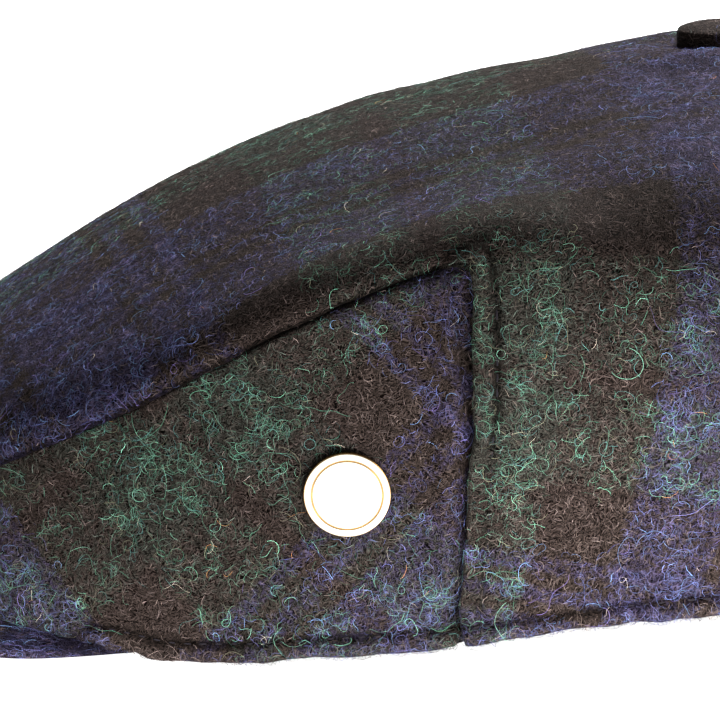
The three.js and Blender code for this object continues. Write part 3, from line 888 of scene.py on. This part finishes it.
def plantFibres(mesh, cut, kindName, seed, rng, keep):  # roots, their normals, and the stripe that each comes out of
    kind = nap["kinds"][kindName]
    corners, loops = triangleTable(mesh)
    points, normals = vertexArray(mesh), vertexArray(mesh, "normal")
    a, b, c = (points[corners[:, i]] for i in range(3))
    weight = np.linalg.norm(np.cross(b - a, c - a), axis=1) / 2 * (readMark(mesh, "inner")[corners].max(1) < 0.3)
    weight = weight * (1 - nap["pressedLoss"] * readMark(mesh, "pressed_and_shaded")[corners].mean(1)) * keep((a + b + c) / 3)
    if kindName == "fringe":
        weight *= readMark(mesh, "hem")[corners].mean(1) < nap["hemReach"]
    total = int(weight.sum() / mm ** 2 * kind["perMm2"])
    tri = rng.choice(len(weight), total, p=weight / weight.sum())
    share = rng.dirichlet((1, 1, 1), total)[:, :, None]
    root = (points[corners[tri]] * share).sum(1)
    up = unit((normals[corners[tri]] * share).sum(1))
    mapAt = (mapArray(mesh)[loops[tri]] * share).sum(1) + rng.normal(0, nap["blend"] * mm, (total, 2))
    stripe = stripesAt(threadsAt(cut, mapAt))
    names = np.array(stripeNames)[stripe[np.arange(total), rng.integers(0, 2, total)]]
    if kind["palette"] == "curls":
        common, patchy = nap["clusterShare"]
        stay = (names != "black") | (rng.random(total) < nap["blackCurls"])
        stay &= rng.random(total) < common + patchy * noiseAt(root, nap["cluster"], seed)
        root, up, names = root[stay], up[stay], names[stay]
    return root, up, names


def layFibres(mesh, kind, rng, root, up):  # ribbons on the cloth: two points and a quad for each step
    total, steps = len(root), kind["steps"]
    length = rng.uniform(*kind["length"], total) * mm
    travelled = np.linspace(0, 1, steps)[None, :] * length[:, None] / mm
    wave = rng.uniform(*kind["wave"], (total, 1))
    bend = rng.uniform(*kind["bend"], (total, 1)) * rng.choice((-1, 1), (total, 1))
    swing = kind["swing"] * rng.normal(0, 1, (total, 1))
    sway = bend + swing * np.sin(2 * math.pi * travelled / wave + rng.uniform(0, 2 * math.pi, (total, 1)))
    heading = rng.uniform(0, 2 * math.pi, (total, 1)) + (sway * (length / mm / steps)[:, None]).cumsum(1)
    step = (length / steps)[:, None]
    along = np.cumsum(np.cos(heading) * step, 1)[:, :, None]
    across = np.cumsum(np.sin(heading) * step, 1)[:, :, None]
    side = unit(np.cross(up, rng.normal(0, 1, (total, 3))))
    third = np.cross(up, side)
    path = np.concatenate([root[:, None], root[:, None] + along * side[:, None] + across * third[:, None]], 1)
    path -= (path.mean(1) - root)[:, None] * 0.5
    # laid on the cloth, and stopped a little past its borders
    tree = BVHTree.FromPolygons(vertexArray(mesh).tolist(), triangleTable(mesh)[0].tolist())
    nearest = [tree.find_nearest(point) for point in path.reshape(-1, 3).tolist()]
    foot = np.array([hit for hit, _, _, _ in nearest]).reshape(path.shape)
    above = np.array([normal for _, normal, _, _ in nearest]).reshape(path.shape)
    past = path - foot
    past -= (past * above).sum(2, keepdims=True) * above
    far = np.linalg.norm(past, axis=2, keepdims=True)
    past *= np.minimum(1, kind["overhang"] * mm / np.maximum(far, 1e-9))
    arch = np.sin(np.linspace(0.12, math.pi - 0.2, steps + 1))[None, :] * rng.uniform(*kind["rise"], total)[:, None]
    arch += rng.normal(0, nap["jitter"], arch.shape)
    path = foot + past + above * (np.maximum(arch, nap["lowest"]) * mm)[:, :, None]
    path[:, :, 2] = np.maximum(path[:, :, 2], nap["floorGap"] * mm)
    tilt = rng.uniform(-nap["tilt"], nap["tilt"], (total, 1, 1))
    flank = unit(np.cross(unit(np.gradient(path, axis=1)), above)) * np.cos(tilt) + above * np.sin(tilt)
    taper = np.minimum(1, np.linspace(0.5, steps + 0.5, steps + 1)[::-1] / 1.4)[None, :, None]
    half = kind["width"] * mm / 2 * rng.uniform(*nap["widths"], (total, 1, 1)) * taper
    ribbons = np.stack([path - flank * half, path + flank * half], 2).reshape(-1, 3)
    base = (np.arange(total) * (steps + 1) * 2)[:, None] + np.arange(steps)[None, :] * 2
    return ribbons, np.stack([base, base + 2, base + 3, base + 1], 2).reshape(-1, 4)


def dyeFibres(kindName, rng, names):
    kind = nap["kinds"][kindName]
    colours = np.empty((len(names), 3))
    for name, shades in nap[kind["palette"]].items():
        chosen = names == name
        table = np.array([linear(shade) for shade in shades])
        colours[chosen] = table[rng.integers(0, len(shades), chosen.sum())]
    colours *= kind["gain"] * rng.lognormal(-0.1, kind["spread"], (len(names), 1))
    if kindName in ("curl", "loop"):
        fleck = rng.random(len(names)) < nap["fleckShare"]
        table = np.array([linear(shade) for shade in nap["flecks"]])
        colours[fleck] = table[rng.integers(0, len(table), fleck.sum())]
    return colours


def bakeCells(total, steps):  # a small square of the bake map for each fibre
    grid = math.ceil(math.sqrt(total))
    cell = np.stack([np.arange(total) % grid, np.arange(total) // grid], 1)[:, None, None, :]
    lengthwise, sideways = np.linspace(0.25, 0.75, steps + 1)[:, None], np.array([0.25, 0.75])[None, :]
    inCell = np.stack(np.broadcast_arrays(lengthwise, sideways), 2)[None]
    return ((cell + inCell) / grid).reshape(-1, 2)


# wool fibre: matt, its colour from the yarn it came out of
wool, woolTree, woolShader = newMaterial("wool_fibre", {"Roughness": 0.7, "Specular IOR Level": 0.02})
dye = addNode(woolTree, "Attribute", {"attribute_name": "dye"})
woolTree.links.new(dye.outputs["Color"], woolShader.inputs["Base Color"])


def makeNap(name, base, cut, kinds, seed, keep):
    # one joined mesh of ribbons on the base, thicker or thinner as keep weighs the base's triangles by their centres
    grown, first = [], 0
    for kindName in kinds:
        rng = np.random.default_rng(seed)
        kind = nap["kinds"][kindName]
        root, up, names = plantFibres(base.data, cut, kindName, seed, rng, keep)
        ribbons, quads = layFibres(base.data, kind, rng, root, up)
        colours = np.repeat(dyeFibres(kindName, rng, names), (kind["steps"] + 1) * 2, 0)
        grown.append((ribbons, quads + first, colours, bakeCells(len(root), kind["steps"])))
        first += len(ribbons)
    ribbons, quads, colours, cells = (np.concatenate(column) for column in zip(*grown))
    mesh = bpy.data.meshes.new(name)
    mesh.from_pydata(ribbons.tolist(), [], quads.tolist())
    dyed = mesh.color_attributes.new("dye", "FLOAT_COLOR", "POINT")
    dyed.data.foreach_set("color", np.concatenate([colours, np.ones((len(colours), 1))], 1).ravel())
    mesh.uv_layers.new(name="OFBake").data.foreach_set("uv", cells[loopArray(mesh)].ravel())
    mesh.materials.append(wool)
    piece = newPiece(name, mesh)
    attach(piece, "root")
    print(name, len(quads) * 2, "triangles")


crownTree, peakTree = surfaceTree(crown), surfaceTree(peak)


def clearOf(points, spot, reach):
    return np.linalg.norm(points - np.array(spot) * mm, axis=1) > reach * mm


def underCrown(points):  # what the crown's edge hides of a panel or the peak
    hidden = np.zeros(len(points), bool)
    for i, point in enumerate(points.tolist()):
        _, _, _, far = crownTree.find_nearest(point)
        outward = Vector((point[0], point[1] * 0.3, 12 * mm)).normalized()
        hit = crownTree.ray_cast(Vector(point) + outward * 0.5 * mm, outward, 14 * mm)
        hidden[i] = hit[0] is not None and far < 9 * mm
    return hidden


def alongCap(points):
    return np.interp(points[:, 1] / mm, *nap["along"])


def onCrown(points, side, share):
    density = nap["density"]
    thick = np.where(points[:, 2] > nap["roofFrom"] * mm, density["roof"], density["wall"])
    clear = clearOf(points, sewing["buttonAt"], nap["bare"]["button"])
    return (points[:, 0] * side >= 0) * clear * thick * alongCap(points) * share


def onPanel(points, side, share):
    clear = clearOf(points, badgeAt / mm, nap["bare"]["badge"]) if side > 0 else 1
    return ~underCrown(points) * clear * nap["density"]["panel"] * share


def onPeak(points):
    top, under = nap["density"]["peakTop"], nap["density"]["peakUnder"]
    thick = np.array([under if peakTree.find_nearest(point)[1].z < -0.2 else top for point in points.tolist()])
    return ~underCrown(points) * alongCap(points) * thick


def onButton(points):
    return (points[:, 2] > sewing["buttonAt"][2] * mm) * 1.0


seeds, noFringe = nap["seeds"], ("mat", "curl", "loop", "stray")
for side, label in ((1, "left"), (-1, "right")):
    share = 1 if side > 0 else nap["unseen"]
    crownKeep = lambda points: onCrown(points, side, share)
    makeNap("crown_felt_" + label, crown, cuts["crown"], ("mat",), seeds["felt"] + side, crownKeep)
    makeNap("crown_curls_" + label, crown, cuts["crown"], ("curl", "loop", "stray", "fringe"),
            seeds["curls"] + side, crownKeep)
    makeNap("panel_nap_" + label, panels[side], cuts[label + "_side_panel"], nap["kinds"],
            seeds["panel"] + side, lambda points: onPanel(points, side, share))
makeNap("peak_nap", peak, cuts["peak"], noFringe, seeds["peak"], onPeak)
makeNap("button_nap", button, cuts["top_button"], noFringe, seeds["button"], onButton)

# white paper on the floor: plain, matt, and lit so that it stays white round the cap
paperSize = 6
bpy.ops.object.select_all(action="DESELECT")
bpy.ops.mesh.primitive_plane_add(size=paperSize)
floor = bpy.context.object
floor.name = "floor"
paperLooks = {"Base Color": linear("#8c8b8a") + [1], "Roughness": 0.9}
paperGlow = {"Emission Color": (1, 1, 1, 1), "Emission Strength": 0.95}
floor.data.materials.append(newMaterial("white_paper", paperLooks | paperGlow)[0])

# soft white surroundings, a softbox above the far side, one behind, and two low strips beside the hem and the peak
studio = {
    "surround": 0.3,
    "lights": (
        {"name": "overhead", "at": (-0.7, 0.3, 0.95), "to": (0, 0, 0.06), "size": (0.9, 0.9), "watts": 107},
        {"name": "side_softbox", "at": (0.35, 0.75, 0.3), "to": (0.06, 0.06, 0.04), "size": (0.5, 0.5), "watts": 3.6},
        {"name": "front_strip", "at": (0.125, 0.115, 0.008), "to": (0.07, 0.1, 0.016), "size": (0.22, 0.012),
         "watts": 0.8},
        {"name": "peak_strip", "at": (0.106, -0.06, 0.004), "to": (0.085, -0.055, 0.005), "size": (0.09, 0.006),
         "watts": 0.06},
    ),
    "mirrored": 0.1,  # a lamp lower than this isn't seen in the metal
}
world = bpy.context.scene.world or bpy.data.worlds.new("studio")
bpy.context.scene.world = world
world.use_nodes = True
surround = world.node_tree.nodes["Background"].inputs
surround["Color"].default_value = (1, 1, 1, 1)
surround["Strength"].default_value = studio["surround"]
for lamp in studio["lights"]:
    bpy.ops.object.select_all(action="DESELECT")
    lampAt = Vector(lamp["at"])
    lampTurn = (lampAt - Vector(lamp["to"])).to_track_quat("Z", "Y").to_euler()
    bpy.ops.object.light_add(type="AREA", location=lampAt, rotation=lampTurn)
    softbox = bpy.context.object
    softbox.name = lamp["name"]
    softbox.data.shape = "RECTANGLE"
    softbox.data.size, softbox.data.size_y = lamp["size"]
    softbox.data.energy = lamp["watts"]
    softbox.visible_camera = False
    softbox.visible_glossy = lamp["size"][1] > studio["mirrored"]
bpy.context.scene.view_settings.view_transform = "Standard"
print("floor and", len(studio["lights"]), "lights")
